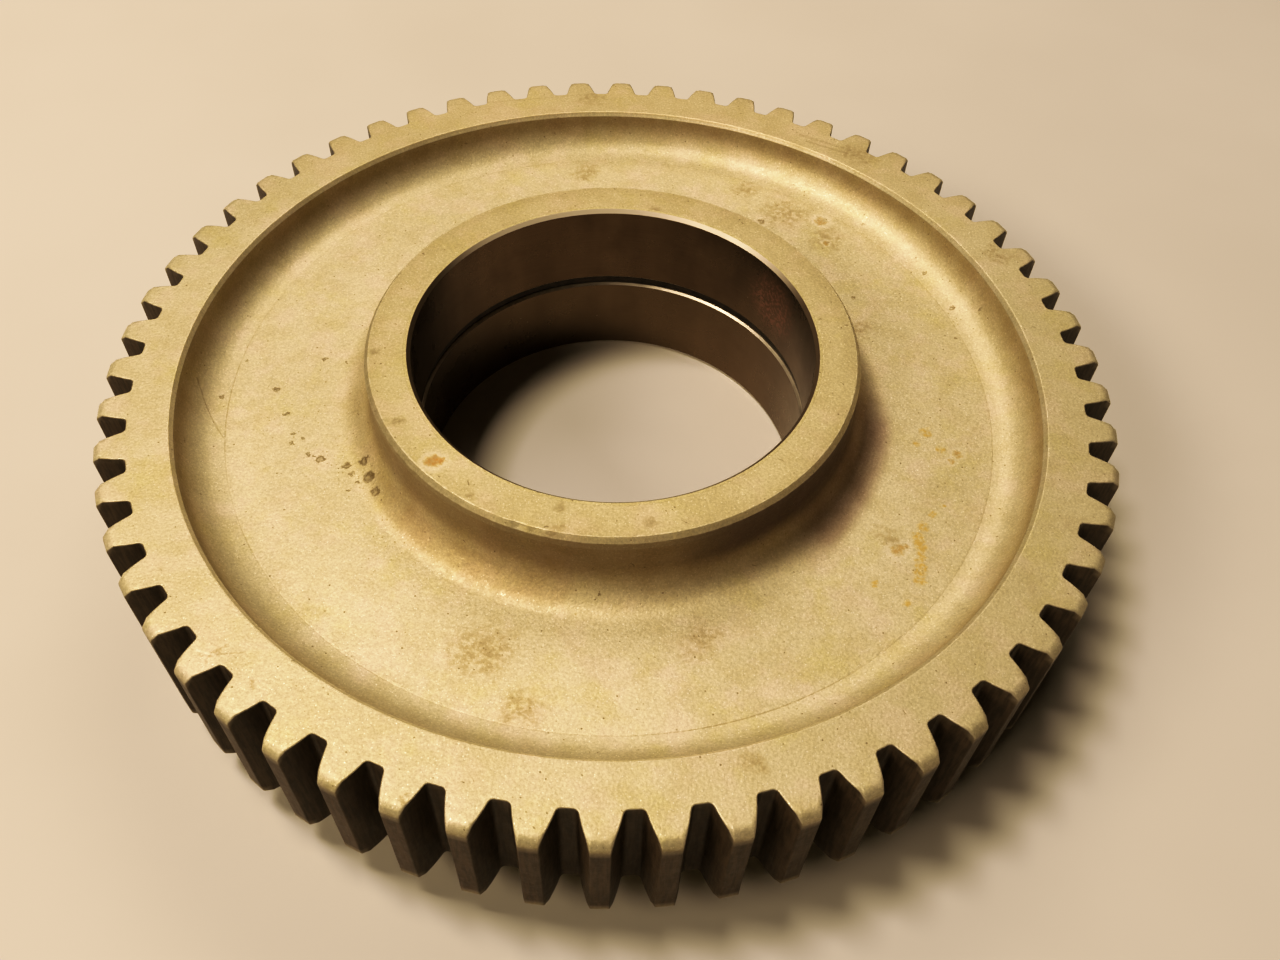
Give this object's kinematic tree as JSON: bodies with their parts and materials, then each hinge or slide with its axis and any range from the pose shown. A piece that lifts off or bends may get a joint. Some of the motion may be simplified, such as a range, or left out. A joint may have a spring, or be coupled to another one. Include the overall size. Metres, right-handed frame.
{
  "type": "spur gear",
  "caption": "Large stub-tooth steel spur gear with a thinned solid web, a hub proud of both faces and a wide sleeved bore split by a central groove.",
  "frame": {"origin": "on the axis of rotation, at mid-width of the hub and rim", "axes": "+Z along the axis of rotation; +X through the centre of a tooth"},
  "size_m": [0.3028, 0.3026, 0.061],
  "materials": {
    "peened_steel": "matte, bead blasted and shot peened, warm grey-tan; tooth walls darker with old oil",
    "ground_steel": "ground, dark oil-stained brown, semi-gloss; chamfers brighter",
    "oxide_spring_steel": "dark oxide, satin"
  },
  "bodies": {
    "root": {"gear_wheel": "peened_steel", "upper_bore_sleeve": "ground_steel", "lower_bore_sleeve": "ground_steel", "locating_ring": "oxide_spring_steel"}
  },
  "joints": []
}
